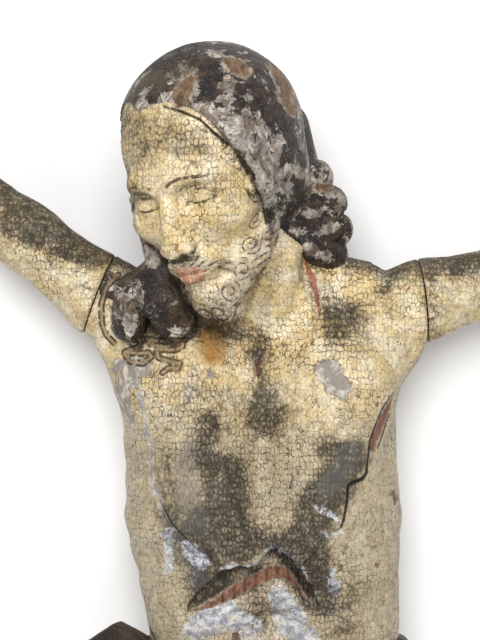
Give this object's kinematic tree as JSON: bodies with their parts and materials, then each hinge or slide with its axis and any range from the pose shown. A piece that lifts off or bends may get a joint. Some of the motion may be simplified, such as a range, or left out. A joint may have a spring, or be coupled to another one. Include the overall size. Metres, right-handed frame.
{
  "type": "crucifix corpus figure",
  "caption": "Carved, gessoed and painted wooden figure from a crucifix, arms outstretched and set on at the shoulders, loincloth and crossed feet, flat back.",
  "frame": {"origin": "on the flat of the back between the shoulder blades, level with the pit of the neck", "axes": "+X to the figure's left, +Y to its head, +Z to its front; the figure lies on its back"},
  "size_m": [0.65, 0.7534, 0.1325],
  "materials": {
    "painted_wood": "aged flesh paint over gesso, satin, with craquelure, losses and dirt"
  },
  "bodies": {
    "root": {"body": "painted_wood", "right_arm": "painted_wood", "left_arm": "painted_wood"}
  },
  "joints": []
}
